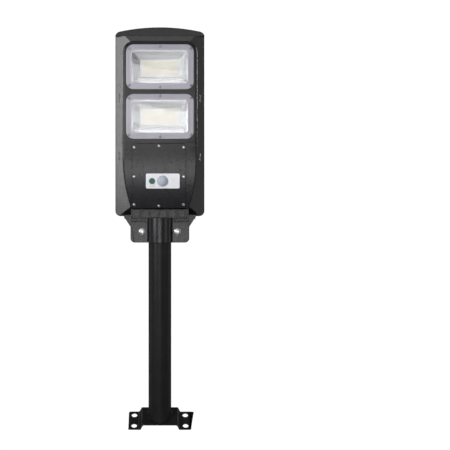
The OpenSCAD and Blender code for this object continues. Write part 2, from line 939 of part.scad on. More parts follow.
module control_board() {
    color("#2f6b3a") label_spot([0, 0]) difference() {
        translate([pcb_x - 42, -17, -pcb_depth - pcb_t]) cube([84, 34, pcb_t]);
        for (p = board_spots()) translate([p[0], p[1], -pcb_depth - 3]) cylinder(h = 6, r = 1.5);
    }
}

module board_screws() {
    color("silver") for (p = board_spots()) label_spot(p) {
        translate([0, 0, -pcb_depth - pcb_t - 1.4]) cylinder(h = 1.4, r = 2.4);
        translate([0, 0, -pcb_depth - pcb_t]) cylinder(h = 6, r = 1.05);
    }
}

module board_components() {
    color("#3b3b40") {
        label_spot([27, 9]) translate([-4, -3, -pcb_depth]) cube([8, 6, 1.6]);
        label_spot([22, -9]) translate([-3, -3, -pcb_depth]) cube([6, 6, 3]);
        label_spot([34, -8]) translate([0, 0, -pcb_depth]) cylinder(h = 7, r = 3.1);
        label_spot([-30, 6]) translate([-4, -2.5, -pcb_depth]) cube([8, 5, 1.6]);
        label_spot([-29, -8]) translate([0, 0, -pcb_depth]) cylinder(h = 5, r = 2.5);
    }
}

module button_switch() {
    color("#4a4a4e") label_spot([button_x, 0]) {
        translate([-3, -3, -pcb_depth]) cube([6, 6, 3.5]);
    }
}

module power_button() {
    cap_top = 2.6;
    flange_low = -cover_wall - 1.3;
    stem_low = -pcb_depth + 3.5 + button_travel + 0.15;
    color("#3f9e74") label_spot([button_x, 0]) {
        translate([0, 0, flange_low]) cylinder(h = cap_top - flange_low, d = button_d);
        translate([0, 0, flange_low]) cylinder(h = 1, d = button_d + 3);
        translate([0, 0, stem_low]) cylinder(h = flange_low - stem_low, r = 1.6);
    }
}

// ---- Battery ----

module battery_cells() {
    color("#2f6fa8") for (x = battery_xs) {
        translate([x, battery_y, battery_z]) cylinder(h = cell_len, d = cell_d);
    }
}

module battery_tray() {
    t = 1.6;
    rise = 8;
    depth = rise + cell_d / 2 + 0.15;
    color("#26262a") translate([0, battery_y - rise, battery_z]) difference() {
        translate([-tray_half, 0, -2 * t]) cube([2 * tray_half, depth + 1.2, cell_len + 4 * t]);
        translate([t - tray_half, -1, -t]) cube([2 * (tray_half - t), depth + 1, cell_len + 2 * t]);
    }
}

module cell_strips() {
    half = battery_xs[3] + 5;
    color("#d0d0d0") for (z = [battery_z - 0.35, battery_z + cell_len + 0.05])
        translate([-half, battery_y - 4, z]) cube([2 * half, 8, 0.3]);
}

module protection_board() {
    color("#2f6b3a") translate([-25, battery_y - 6, battery_z + cell_len + 3.6]) cube([50, 12, 1.2]);
}

// ---- Leads held inside the head ----

function board_point(x, up, back) = [
    x,
    label_y + cos(label_tilt) * (pcb_depth + pcb_t + back) - sin(label_tilt) * up,
    label_z + sin(label_tilt) * (pcb_depth + pcb_t + back) + cos(label_tilt) * up
];

// Where a lead enters the plug row on the back of the control board
function plug_point(x) = board_point(x, plug_up + 4.5, plug_t / 2);

module battery_leads() {
    top = battery_z + cell_len + 5;
    for (s = [0, 1]) color(s == 0 ? "#b02020" : "#151515") {
        x = 14 + s * wire_pitch;
        wire([[x, battery_y - 3, top], [x, battery_y - 3, top + 6], [x, -5, top + 5], plug_point(x)]);
    }
}

module panel_leads() {
    for (s = [0, 1]) color(s == 0 ? "#b02020" : "#151515") {
        x = -6 + s * wire_pitch;
        wire([
            [x, sheet_y - 6.2, step_z + 16], [x, 12, step_z + 2], [x, 0, step_z - 22], plug_point(x)
        ]);
    }
}

// A pair of leads from a window's board to a plug that lies reach closer to the middle
module led_leads(z, reach) {
    depth = 14 - reach / 2;
    for (s = [0, 1]) color(s == 0 ? "#b02020" : "#e0e0e0") {
        x = lead_hole_x + (s - 0.5) * wire_pitch;
        start = z - lead_hole_drop;
        wire([
            [x, well_y - 2, start], [x, 0, start], [x, depth, start - 6], [x, depth, step_z + 4],
            [x - reach / 2, depth - 2, step_z - 14], plug_point(x - reach)
        ]);
    }
}

module lead_plugs() {
    color("#efefe8") for (x = [-4.9, 15.1, 25.1, 32.1]) label_spot([x, plug_up])
        translate([-2.8, -3.5, -pcb_depth - pcb_t - plug_t]) cube([5.6, 7, plug_t]);
}

wall_bracket();
pole();
weld_bead();
housing();
clamp_front();
clamp_bolts();
clamp_nuts();
clamp_washers();
sleeve_screws();
panel_seal();
panel_backsheet();
solar_cells();
cell_ribbons();
panel_glass();
panel_terminals();
corner_retainers();
retainer_screws();
lens(lens_zs[1]);  // lens_upper
lens(lens_zs[0]);  // lens_lower
lens_gasket(lens_zs[1]);  // lens_gasket_upper
lens_gasket(lens_zs[0]);  // lens_gasket_lower
lens_screws();
reflector(lens_zs[1]);  // reflector_upper
reflector(lens_zs[0]);  // reflector_lower
led_board(lens_zs[1]);  // led_board_upper
led_board(lens_zs[0]);  // led_board_lower
leds(lens_zs[1]);  // leds_upper
leds(lens_zs[0]);  // leds_lower
led_board_screws();
battery_cover();
cover_gasket();
cover_screws();
sensor_label();
pir_lens();
pir_sensor();
control_board();
board_components();
board_screws();
button_switch();
power_button();
battery_cells();
battery_tray();
cell_strips();
protection_board();
battery_leads();
panel_leads();
led_leads(lens_zs[1], 13);  // led_leads_upper
led_leads(lens_zs[0], 20);  // led_leads_lower
lead_plugs();
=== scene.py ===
import json
import math
import random

import bmesh
import bpy
import numpy as np
from mathutils import Matrix, Vector


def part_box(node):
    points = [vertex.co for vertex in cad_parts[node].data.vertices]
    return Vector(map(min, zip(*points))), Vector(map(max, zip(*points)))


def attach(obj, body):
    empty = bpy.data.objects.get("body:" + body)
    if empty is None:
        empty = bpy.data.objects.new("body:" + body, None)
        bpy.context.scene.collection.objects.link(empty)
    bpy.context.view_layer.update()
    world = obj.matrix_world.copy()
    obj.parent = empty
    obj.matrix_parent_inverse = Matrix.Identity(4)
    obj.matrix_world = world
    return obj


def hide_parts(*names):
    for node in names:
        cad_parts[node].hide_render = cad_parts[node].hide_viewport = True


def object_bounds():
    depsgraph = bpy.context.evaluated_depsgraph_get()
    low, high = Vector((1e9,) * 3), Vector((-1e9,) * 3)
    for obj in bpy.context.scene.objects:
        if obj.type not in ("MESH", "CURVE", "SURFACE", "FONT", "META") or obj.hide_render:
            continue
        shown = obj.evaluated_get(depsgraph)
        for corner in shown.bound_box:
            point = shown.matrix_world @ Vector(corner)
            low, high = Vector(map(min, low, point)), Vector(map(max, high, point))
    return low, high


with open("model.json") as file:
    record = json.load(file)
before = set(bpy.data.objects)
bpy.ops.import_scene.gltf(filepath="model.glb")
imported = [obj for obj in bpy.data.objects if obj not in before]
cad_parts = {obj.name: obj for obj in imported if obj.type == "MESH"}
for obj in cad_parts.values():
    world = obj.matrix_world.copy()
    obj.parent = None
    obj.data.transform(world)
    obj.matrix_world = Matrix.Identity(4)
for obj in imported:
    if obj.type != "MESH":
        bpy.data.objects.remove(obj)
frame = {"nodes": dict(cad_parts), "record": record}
cad_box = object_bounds()

# The looks of a solar street lamp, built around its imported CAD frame. All lengths are in metres.

MM = 0.001
LEFT, RIGHT = -1, 1
FRONT = Vector((0, -1, 0))
BACK = Vector((0, 1, 0))
DICE = random.Random(7)

RECORD = frame["record"]
SLOT_OF = {part["node"]: part["material_slot"] for part in RECORD["subparts"]}
BODY_OF = {node: body for body, nodes in RECORD["behaviour"]["bodies"].items() for node in nodes}

# ---- Camera ----

CAMERA_DISTANCE = 1.9
CAMERA_HEIGHT = 0.417
CAMERA_LENS = 72
CAMERA_SHIFT = 0.1447


def make_camera():
    camera = bpy.data.objects.new("camera", bpy.data.cameras.new("camera"))
    camera.location = (0, -CAMERA_DISTANCE, CAMERA_HEIGHT)
    camera.rotation_euler = (math.radians(90), 0, 0)
    camera.data.lens = CAMERA_LENS
    camera.data.shift_x = CAMERA_SHIFT
    bpy.context.scene.collection.objects.link(camera)
    bpy.context.scene.camera = camera


make_camera()

# ---- Node helpers ----


def blank_material(name):
    material = bpy.data.materials.new(name)
    material.use_nodes = True
    return material, material.node_tree, material.node_tree.nodes["Principled BSDF"]


def piece_coordinates(tree, stretch=(1, 1, 1)):
    place = tree.nodes.new("ShaderNodeTexCoord")
    mapping = tree.nodes.new("ShaderNodeMapping")
    mapping.inputs["Scale"].default_value = stretch
    tree.links.new(place.outputs["Object"], mapping.inputs["Vector"])
    return mapping.outputs["Vector"]


def noise(tree, feature, detail=2.0, stretch=(1, 1, 1)):
    """Noise whose features measure about the given length."""
    texture = tree.nodes.new("ShaderNodeTexNoise")
    texture.inputs["Scale"].default_value = 1 / feature
    texture.inputs["Detail"].default_value = detail
    tree.links.new(piece_coordinates(tree, stretch), texture.inputs["Vector"])
    return texture.outputs["Fac"]


def ranged(tree, factor, low, high, start=0.3, end=0.7):
    """Stretches the part of a factor from start to end over low to high."""
    node = tree.nodes.new("ShaderNodeMapRange")
    for name, value in zip(("From Min", "From Max", "To Min", "To Max"), (start, end, low, high)):
        node.inputs[name].default_value = value
    tree.links.new(factor, node.inputs["Value"])
    return node.outputs["Result"]


def mixed(tree, factor, first, second):
    """A colour between two colours or colour sockets."""
    node = tree.nodes.new("ShaderNodeMix")
    node.data_type = "RGBA"
    tree.links.new(factor, node.inputs["Factor"])
    for socket, colour in ((node.inputs[6], first), (node.inputs[7], second)):
        if isinstance(colour, tuple):
            socket.default_value = (*colour, 1)
        else:
            tree.links.new(colour, socket)
    return node.outputs[2]


def bumped(tree, shader, factor, height, strength=0.6):
    node = tree.nodes.new("ShaderNodeBump")
    node.inputs["Distance"].default_value = height
    node.inputs["Strength"].default_value = strength
    tree.links.new(factor, node.inputs["Height"])
    tree.links.new(node.outputs["Normal"], shader.inputs["Normal"])


def lets_lamps_through(tree, shader):
    """Shadow rays pass the clear piece, so that lamps light what is behind it."""
    path = tree.nodes.new("ShaderNodeLightPath")
    clear = tree.nodes.new("ShaderNodeBsdfTransparent")
    mix = tree.nodes.new("ShaderNodeMixShader")
    tree.links.new(path.outputs["Is Shadow Ray"], mix.inputs["Fac"])
    tree.links.new(shader.outputs["BSDF"], mix.inputs[1])
    tree.links.new(clear.outputs["BSDF"], mix.inputs[2])
    tree.links.new(mix.outputs["Shader"], tree.nodes["Material Output"].inputs["Surface"])


# ---- Materials ----


def moulded(name, dark, light, rough, grain=0.5 * MM, height=0.02 * MM, specular=0.5, patch=25 * MM):
    """Moulded plastic, rubber or film: broad tone patches, a fine grain and an uneven gloss."""
    material, tree, shader = blank_material(name)
    broad = noise(tree, patch, 3.0)
    fine = noise(tree, grain, 2.0)
    tree.links.new(mixed(tree, ranged(tree, broad, 0, 1), dark, light), shader.inputs["Base Color"])
    tree.links.new(ranged(tree, noise(tree, patch / 6, 4.0), *rough), shader.inputs["Roughness"])
    shader.inputs["Specular IOR Level"].default_value = specular
    bumped(tree, shader, fine, height)
    return material


def black_abs():
    """Satin black ABS with a spark-eroded grain, faint flow marks and a little dust."""
    material, tree, shader = blank_material("black_abs")
    flow = noise(tree, 40 * MM, 3.0, (1, 1, 0.35))
    dust = noise(tree, 6 * MM, 6.0)
    tone = mixed(tree, ranged(tree, flow, 0, 1), (0.0055, 0.0055, 0.007), (0.009, 0.009, 0.011))
    speck = ranged(tree, dust, 0, 0.04, 0.62, 0.78)
    tree.links.new(mixed(tree, speck, tone, (0.07, 0.068, 0.065)), shader.inputs["Base Color"])
    tree.links.new(ranged(tree, noise(tree, 9 * MM, 4.0), 0.24, 0.28), shader.inputs["Roughness"])
    shader.inputs["Specular IOR Level"].default_value = 0.36
    bumped(tree, shader, noise(tree, 0.45 * MM, 2.0), 0.01 * MM, 0.14)
    return material


def black_steel():
    """Black powder coat: an orange-peel surface with fine matt speckle."""
    material, tree, shader = blank_material("black_steel")
    peel = noise(tree, 1.6 * MM, 2.0)
    speckle = noise(tree, 0.5 * MM, 3.0)
    patches = ranged(tree, noise(tree, 30 * MM, 3.0), 0, 1)
    tone = mixed(tree, patches, (0.004, 0.004, 0.0045), (0.008, 0.008, 0.0085))
    chips = ranged(tree, speckle, 0, 0.05, 0.66, 0.8)
    tree.links.new(mixed(tree, chips, tone, (0.05, 0.05, 0.05)), shader.inputs["Base Color"])
    tree.links.new(ranged(tree, speckle, 0.33, 0.44), shader.inputs["Roughness"])
    shader.inputs["Specular IOR Level"].default_value = 0.22
    bumped(tree, shader, peel, 0.02 * MM, 0.18)
    return material


def metal(name, dark, light, rough, stretch=(1, 1, 1), grain=0.6 * MM, height=0.012 * MM):
    """Bare or plated metal with a directional grain."""
    material, tree, shader = blank_material(name)
    lines = noise(tree, grain, 3.0, stretch)
    stains = noise(tree, 4 * MM, 4.0)
    tree.links.new(mixed(tree, ranged(tree, stains, 0, 1), dark, light), shader.inputs["Base Color"])
    tree.links.new(ranged(tree, lines, *rough), shader.inputs["Roughness"])
    shader.inputs["Metallic"].default_value = 1.0
    bumped(tree, shader, lines, height)
    return material


def clear_plastic(name, tint, rough, weight, wave=0.05 * MM, specular=0.5):
    """Clear moulding that mirrors its surroundings and lets lamps light what it covers."""
    material, tree, shader = blank_material(name)
    haze = noise(tree, 18 * MM, 3.0)
    tone = mixed(tree, ranged(tree, haze, 0, 1), tint, tuple(0.94 * c for c in tint))
    tree.links.new(tone, shader.inputs["Base Color"])
    tree.links.new(ranged(tree, noise(tree, 7 * MM, 3.0), *rough), shader.inputs["Roughness"])
    shader.inputs["Transmission Weight"].default_value = weight
    shader.inputs["IOR"].default_value = 1.49
    shader.inputs["Specular IOR Level"].default_value = specular
    bumped(tree, shader, noise(tree, 9 * MM, 2.0), wave, 0.3)
    lets_lamps_through(tree, shader)
    return material


def silicon():
    """Polycrystalline silicon: shards of blue and navy under fine silver fingers."""
    material, tree, shader = blank_material("cell_blue")
    shards = tree.nodes.new("ShaderNodeTexVoronoi")
    shards.inputs["Scale"].default_value = 1 / (11 * MM)
    shards.inputs["Randomness"].default_value = 1.0
    tree.links.new(piece_coordinates(tree, (1, 1, 1.6)), shards.inputs["Vector"])
    split = tree.nodes.new("ShaderNodeSeparateColor")
    tree.links.new(shards.outputs["Color"], split.inputs["Color"])
    tone = mixed(tree, split.outputs["Red"], (0.012, 0.018, 0.055), (0.03, 0.05, 0.135))
    cloudy = mixed(tree, ranged(tree, noise(tree, 60 * MM, 3.0), 0, 0.5), tone, (0.018, 0.022, 0.06))
    fingers = tree.nodes.new("ShaderNodeTexWave")
    fingers.bands_direction = "Z"
    fingers.inputs["Scale"].default_value = 0.314 / (2.1 * MM)
    tree.links.new(piece_coordinates(tree), fingers.inputs["Vector"])
    lines = ranged(tree, fingers.outputs["Fac"], 0, 0.3, 0.93, 1.0)
    tree.links.new(mixed(tree, lines, cloudy, (0.32, 0.34, 0.38)), shader.inputs["Base Color"])
    tree.links.new(ranged(tree, split.outputs["Green"], 0.22, 0.38, 0, 1), shader.inputs["Roughness"])
    bumped(tree, shader, split.outputs["Blue"], 0.01 * MM)
    return material


def phosphor():
    """Pale yellow phosphor gel over the chips."""
    material, tree, shader = blank_material("led_phosphor")
    grains = noise(tree, 0.3 * MM, 4.0)
    tone = mixed(tree, ranged(tree, grains, 0, 1), (0.46, 0.37, 0.1), (0.54, 0.46, 0.15))
    tree.links.new(tone, shader.inputs["Base Color"])
    tree.links.new(ranged(tree, grains, 0.35, 0.5), shader.inputs["Roughness"])
    shader.inputs["Coat Weight"].default_value = 0.4
    bumped(tree, shader, grains, 0.02 * MM)
    return material


def make_materials():
    return {
        "black_abs": black_abs(),
        "black_steel": black_steel(),
        "zinc_steel": metal("zinc_steel", (0.4, 0.41, 0.43), (0.55, 0.56, 0.57), (0.24, 0.38)),
        "dull_steel": metal("dull_steel", (0.2, 0.2, 0.21), (0.3, 0.3, 0.31), (0.3, 0.45)),
        "clear_cover": clear_plastic(
            "clear_cover", (0.97, 0.975, 0.985), (0.03, 0.08), 1.0, 0.02 * MM, 0.12
        ),
        "clear_flange": clear_plastic("clear_flange", (0.42, 0.405, 0.46), (0.18, 0.26), 0.2),
        "mirror_tray": metal(
            "mirror_tray", (0.7, 0.705, 0.71), (0.74, 0.745, 0.75), (0.2, 0.26), (1, 1, 1), 24 * MM, 0.02 * MM
        ),
        "led_board_white": moulded("led_board_white", (0.4, 0.4, 0.39), (0.46, 0.46, 0.45), (0.4, 0.5)),
        "led_phosphor": phosphor(),
        "panel_glass": clear_plastic("panel_glass", (0.97, 0.98, 0.985), (0.06, 0.12), 1.0, 0.01 * MM),
        "cell_blue": silicon(),
        "ribbon": metal("ribbon", (0.78, 0.79, 0.8), (0.88, 0.885, 0.89), (0.28, 0.42), (1, 1, 0.05)),
        "sheet_white": moulded("sheet_white", (0.8, 0.81, 0.82), (0.86, 0.87, 0.88), (0.35, 0.5)),
        "rubber_black": moulded(
            "rubber_black", (0.014, 0.014, 0.015), (0.022, 0.022, 0.024), (0.55, 0.7), 0.3 * MM
        ),
        "rubber_grey": moulded(
            "rubber_grey", (0.36, 0.36, 0.39), (0.44, 0.44, 0.47), (0.5, 0.65), 0.3 * MM
        ),
        "label_white": moulded(
            "label_white", (0.7, 0.71, 0.75), (0.76, 0.77, 0.8), (0.28, 0.4), 0.2 * MM, 0.005 * MM
        ),
        "dome_white": dome_plastic(),
        "button_green": moulded(
            "button_green", (0.03, 0.1, 0.07), (0.045, 0.14, 0.1), (0.4, 0.55), 0.3 * MM
        ),
        "circuit_green": moulded(
            "circuit_green", (0.01, 0.09, 0.03), (0.02, 0.14, 0.05), (0.25, 0.4), 0.8 * MM
        ),
        "dark_parts": moulded("dark_parts", (0.015, 0.015, 0.017), (0.03, 0.03, 0.033), (0.4, 0.6)),
        "sensor_can": metal("sensor_can", (0.6, 0.6, 0.58), (0.72, 0.72, 0.7), (0.25, 0.4)),
        "cell_wrap": moulded(
            "cell_wrap", (0.02, 0.12, 0.3), (0.03, 0.16, 0.38), (0.22, 0.35), 2 * MM, 0.05 * MM
        ),
        "nickel": metal("nickel", (0.55, 0.55, 0.53), (0.66, 0.66, 0.63), (0.3, 0.45), (0.1, 1, 1)),
        "wire_red": moulded("wire_red", (0.35, 0.012, 0.012), (0.46, 0.02, 0.02), (0.35, 0.5), 0.4 * MM),
        "plug_ivory": moulded("plug_ivory", (0.72, 0.7, 0.6), (0.8, 0.78, 0.7), (0.4, 0.55)),
        "print_green": moulded(
            "print_green", (0.03, 0.2, 0.12), (0.04, 0.24, 0.15), (0.3, 0.4), 0.2 * MM, 0.005 * MM
        ),
        "print_grey": moulded(
            "print_grey", (0.42, 0.43, 0.46), (0.5, 0.51, 0.54), (0.3, 0.4), 0.2 * MM, 0.005 * MM
        ),
    }


def dome_plastic():
    """Milky polyethylene with light scattered under its skin."""
    material, tree, shader = blank_material("dome_white")
    cloud = noise(tree, 3 * MM, 3.0)
    tone = mixed(tree, ranged(tree, cloud, 0, 1), (0.4, 0.43, 0.51), (0.48, 0.51, 0.59))
    tree.links.new(tone, shader.inputs["Base Color"])
    tree.links.new(ranged(tree, cloud, 0.32, 0.45), shader.inputs["Roughness"])
    shader.inputs["Subsurface Weight"].default_value = 0.25
    shader.inputs["Subsurface Scale"].default_value = 1.5 * MM
    bumped(tree, shader, noise(tree, 0.6 * MM, 2.0), 0.01 * MM)
    return material


MATERIALS = make_materials()

# ---- Mesh helpers ----


def link(name, mesh, *slots):
    piece = bpy.data.objects.new(name, mesh)
    if mesh.materials:
        mesh.materials.clear()
    for slot in slots:
        mesh.materials.append(MATERIALS[slot])
    bpy.context.scene.collection.objects.link(piece)
    return piece


def install(piece, node):
    """Puts a piece in a CAD node's place and on its body, and hides the CAD node."""
    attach(piece, BODY_OF[node])
    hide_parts(node)
    return piece


def to_mesh(name, bm, smooth=True, crease=35):
    bmesh.ops.recalc_face_normals(bm, faces=bm.faces)
    mesh = bpy.data.meshes.new(name)
    bm.to_mesh(mesh)
    bm.free()
    if smooth:
        mesh.polygons.foreach_set("use_smooth", [True] * len(mesh.polygons))
        mesh.set_sharp_from_angle(angle=math.radians(crease))
    return mesh


def lathe(profile, sides=40):
    """Turns (radius, height) points about +Z. A radius of 0 closes the shape."""
    bm = bmesh.new()
    rings = []
    for radius, height in profile:
        count = sides if radius > 0 else 1
        turn = 2 * math.pi / count
        rings.append([
            bm.verts.new((radius * math.cos(k * turn), radius * math.sin(k * turn), height))
            for k in range(count)
        ])
    for low, high in zip(rings, rings[1:]):
        for k in range(sides):
            corners = [low[k % len(low)], low[(k + 1) % len(low)]]
            corners += [high[(k + 1) % len(high)], high[k % len(high)]]
            distinct = list(dict.fromkeys(corners))
            if len(distinct) > 2:
                bm.faces.new(distinct)
    return bm


def prism(outline, low, high):
    """Extrudes an outline in X and Y from low to high along Z."""
    bm = bmesh.new()
    bottom = [bm.verts.new((x, y, low)) for x, y in outline]
    top = [bm.verts.new((x, y, high)) for x, y in outline]
    bm.faces.new(bottom[::-1])
    bm.faces.new(top)
    for k in range(len(outline)):
        after = (k + 1) % len(outline)
        bm.faces.new((bottom[k], bottom[after], top[after], top[k]))
    return bm


def carved(body, tool, operation="DIFFERENCE"):
    """One mesh cut by, or kept inside, another."""
    first = bpy.data.objects.new("carve_body", body)
    second = bpy.data.objects.new("carve_tool", tool)
    for each in (first, second):
        bpy.context.scene.collection.objects.link(each)
    cut = first.modifiers.new("cut", "BOOLEAN")
    cut.object = second
    cut.operation = operation
    cut.solver = "EXACT"
    shapes = bpy.context.evaluated_depsgraph_get()
    result = bpy.data.meshes.new_from_object(first.evaluated_get(shapes))
    for each in (first, second):
        bpy.data.objects.remove(each)
    return result


def facing(origin, axis, spin=0.0):
    """A placement with +Z along an axis, turned about it by spin."""
    turn = axis.to_track_quat("Z", "Y").to_matrix().to_4x4()
    return Matrix.Translation(origin) @ turn @ Matrix.Rotation(spin, 4, "Z")


def gathered(name, parts):
    """Joins (mesh, placement) pairs into one mesh."""
    bm = bmesh.new()
    for mesh, placement in parts:
        copy = mesh.copy()
        copy.transform(placement)
        bm.from_mesh(copy)
        bpy.data.meshes.remove(copy)
    joined = bpy.data.meshes.new(name)
    bm.to_mesh(joined)
    bm.free()
    joined.polygons.foreach_set("use_smooth", [True] * len(joined.polygons))
    joined.set_sharp_from_angle(angle=math.radians(35))
    return joined


def welded(node, dissolve=True):
    """A CAD node's mesh with its seams closed and, if asked, its flat faces whole."""
    bm = bmesh.new()
    bm.from_mesh(frame["nodes"][node].data)
    bmesh.ops.remove_doubles(bm, verts=bm.verts, dist=0.002 * MM)
    if dissolve:
        bmesh.ops.dissolve_limit(
            bm, angle_limit=math.radians(0.3), use_dissolve_boundaries=False, verts=bm.verts, edges=bm.edges
        )
    return bm


def solids(node):
    """The corner points of each separate solid in a CAD node."""
    bm = bmesh.new()
    bm.from_mesh(frame["nodes"][node].data)
    bmesh.ops.remove_doubles(bm, verts=bm.verts, dist=0.002 * MM)
    seen, found = set(), []
    for start in bm.verts:
        if start in seen:
            continue
        seen.add(start)
        island, queue = [], [start]
        while queue:
            vert = queue.pop()
            island.append(vert.co.copy())
            for edge in vert.link_edges:
                other = edge.other_vert(vert)
                if other not in seen:
                    seen.add(other)
                    queue.append(other)
        found.append(island)
    bm.free()
    return sorted(found, key=lambda points: tuple(round(c, 4) for c in sum(points, Vector()) / len(points)))


def long_axis(points, toward):
    """The direction in which a slender solid is longest."""
    cloud = np.array(points)
    values, vectors = np.linalg.eigh(np.cov((cloud - cloud.mean(0)).T))
    axis = Vector(vectors[:, int(values.argmax())])
    return axis if axis.dot(toward) > 0 else -axis


def tip(points, axis):
    """Where a turned solid's axis leaves it, and how wide it is."""
    far = max(p.dot(axis) for p in points)
    rim = [p for p in points if p.dot(axis) > far - 0.05 * MM]
    middle = sum(rim, Vector()) / len(rim)
    radius = max((p - middle).length for p in rim)
    return middle, radius


def length_along(points, axis):
    spans = [p.dot(axis) for p in points]
    return max(spans) - min(spans)


def bevelled(piece, width, segments=2, weighted=False, angle=30):
    """Rounds a piece's edges and keeps its flat faces flat in shading."""
    bevel = piece.modifiers.new("round", "BEVEL")
    bevel.width = width
    bevel.segments = segments
    bevel.use_clamp_overlap = False
    bevel.limit_method = "WEIGHT" if weighted else "ANGLE"
    bevel.angle_limit = math.radians(angle)
    bevel.miter_outer = "MITER_ARC" if segments > 2 else "MITER_SHARP"
    normals = piece.modifiers.new("normals", "WEIGHTED_NORMAL")
    normals.keep_sharp = True
    return piece


def refined(node, width, weigh=None, segments=2, slots=None):
    """A CAD node's own shape with rounded edges. weigh gives the share of width that an edge takes."""
    bm = welded(node)
    layer = bm.edges.layers.float.new("bevel_weight_edge")
    for edge in bm.edges:
        if len(edge.link_faces) == 2 and edge.calc_face_angle(0) > math.radians(28):
            edge[layer] = weigh(edge) if weigh else 1.0
    mesh = bpy.data.meshes.new(node + "_shape")
    bm.to_mesh(mesh)
    bm.free()
    mesh.polygons.foreach_set("use_smooth", [True] * len(mesh.polygons))
    piece = link(node + "_looks", mesh, *(slots or [SLOT_OF[node]]))
    bevelled(piece, width, segments, weighted=True)
    return install(piece, node)


def middle_of(edge):
    return (edge.verts[0].co + edge.verts[1].co) / 2


# ---- Housing and covers ----

LENS_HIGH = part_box("lens_upper")[1]
COVER_LOW, COVER_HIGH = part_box("battery_cover")
HOUSING_LOW, HOUSING_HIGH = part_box("housing")
ROUND_WIDE = 4.5 * MM
ROUND_NARROW = 1.3 * MM
ROUND_RIM = 1.8 * MM
CREASE_HEIGHT = HOUSING_HIGH.z - 20.5 * MM
CREASE_DEPTH = 11 * MM
LONG_RUN = 60 * MM


def steep_side(edge, front_limit):
    """The side face of a convex edge between the light side and an upright wall, or None."""
    if len(edge.link_faces) != 2 or not edge.is_convex:
        return None
    front, side = sorted(edge.link_faces, key=lambda face: face.normal.y)
    if front.normal.y < front_limit and abs(side.normal.y) < 0.2:
        return side.normal
    return None


def raised_side(edge):
    """The wall's outward direction at the raised body's front edge."""
    middle = middle_of(edge)
    normal = steep_side(edge, -0.9)
    if normal is None or middle.y > -10.8 * MM or middle.z < COVER_LOW.z + 0.1 * MM:
        return None
    sideways = normal.x * middle.x > 0 and abs(normal.x) > 0.05
    upwards = normal.z > 0.5 and middle.z > LENS_HIGH.z
    return normal if sideways or upwards else None


def rim_side(edge):
    """The wall's outward direction at the head plate's front edge."""
    middle = middle_of(edge)
    normal = steep_side(edge, -0.5)
    outside = abs(middle.x) > 80 * MM or middle.z > LENS_HIGH.z + 15 * MM
    if normal is None or middle.y < 8 * MM or not outside:
        return None
    outward = Vector((middle.x, 0, middle.z - (COVER_LOW.z + HOUSING_HIGH.z) / 2))
    return normal if normal.dot(outward) > 0 else None


def runs(bm, side_of):
    """Ordered runs of (point, outward direction) along the edges for which side_of gives a direction."""
    links = {}
    for edge in bm.edges:
        normal = side_of(edge)
        if normal is None or edge.calc_face_angle(0) < math.radians(28):
            continue
        for vert in edge.verts:
            links.setdefault(vert, []).append((edge.other_vert(vert), normal))
    free_ends = [vert for vert, near in links.items() if len(near) == 1]
    found, used = [], set()
    for start in free_ends + list(links):
        if start in used:
            continue
        run, vert = [], start
        while vert is not None:
            used.add(vert)
            outward = sum((normal for _, normal in links[vert]), Vector())
            outward.y = 0
            run.append((vert.co.copy(), outward.normalized()))
            vert = next((other for other, _ in links[vert] if other not in used), None)
        if sum((b - a).length for (a, _), (b, _) in zip(run, run[1:])) > LONG_RUN:
            found.append(run)
    return found


def router(run, radius_at, steps=8):
    """A cutter that leaves a quarter round along a run of edge points."""
    bm = bmesh.new()
    over = 1 * MM
    rings = []
    for point, outward in run:
        radius = radius_at(point)
        section = [(-radius, -over), (over, -over), (over, radius)]
        for k in range(steps + 1):
            swing = math.pi / 2 * k / steps
            section.append((radius * (math.cos(swing) - 1), radius * (1 - math.sin(swing))))
        rings.append([bm.verts.new(point + outward * u + BACK * depth) for u, depth in section])
    for first, second in zip(rings, rings[1:]):
        for k in range(len(first)):
            after = (k + 1) % len(first)
            bm.faces.new((first[k], first[after], second[after], second[k]))
    bm.faces.new(rings[0])
    bm.faces.new(rings[-1])
    bmesh.ops.recalc_face_normals(bm, faces=bm.faces)
    return to_mesh("router", bm, smooth=False)


def raised_radius(point):
    """Wide round the windows, and narrower beside the battery cover, where the wall comes closer."""
    share = (point.z - COVER_LOW.z) / (COVER_HIGH.z - COVER_LOW.z)
    return min(ROUND_WIDE, max(ROUND_NARROW, ROUND_NARROW + (ROUND_WIDE - ROUND_NARROW) * share))


def smooth_rounds(mesh, limit=math.radians(17)):
    """Shades only the small faces of rounds and arcs smooth, so that flat faces stay flat."""
    bm = bmesh.new()
    bm.from_mesh(mesh)
    for face in bm.faces:
        turns = any(0.01 < edge.calc_face_angle(0) < limit for edge in face.edges)
        face.smooth = turns and min(edge.calc_length() for edge in face.edges) < 8 * MM
    for edge in bm.edges:
        edge.smooth = edge.calc_face_angle(0) < limit
    bm.to_mesh(mesh)
    bm.free()


def crease_cutter():
    """A thin blade along the crease between the head plate and its sloping crown."""
    half, tall, depth = HOUSING_HIGH.x - 4 * MM, 0.55 * MM, 0.9 * MM
    bm = bmesh.new()
    bmesh.ops.create_cube(bm, size=2.0)
    for vert in bm.verts:
        vert.co.x *= half
        vert.co.y = CREASE_DEPTH + vert.co.y * depth
        vert.co.z = CREASE_HEIGHT + vert.co.z * tall
    return to_mesh("blade", bm, smooth=False)


def build_housing():
    """The CAD housing with a wide round along its raised front and a smaller one along its rim."""
    bm = welded("housing", dissolve=False)
    cutters = [router(run, lambda point: ROUND_RIM, 6) for run in runs(bm, rim_side)]
    cutters += [router(run, raised_radius) for run in runs(bm, raised_side)]
    mesh = bpy.data.meshes.new("housing_shape")
    bm.to_mesh(mesh)
    bm.free()
    for cutter in cutters + [crease_cutter()]:
        mesh = carved(mesh, cutter)
    smooth_rounds(mesh)
    install(link("housing_looks", mesh, "black_abs"), "housing")


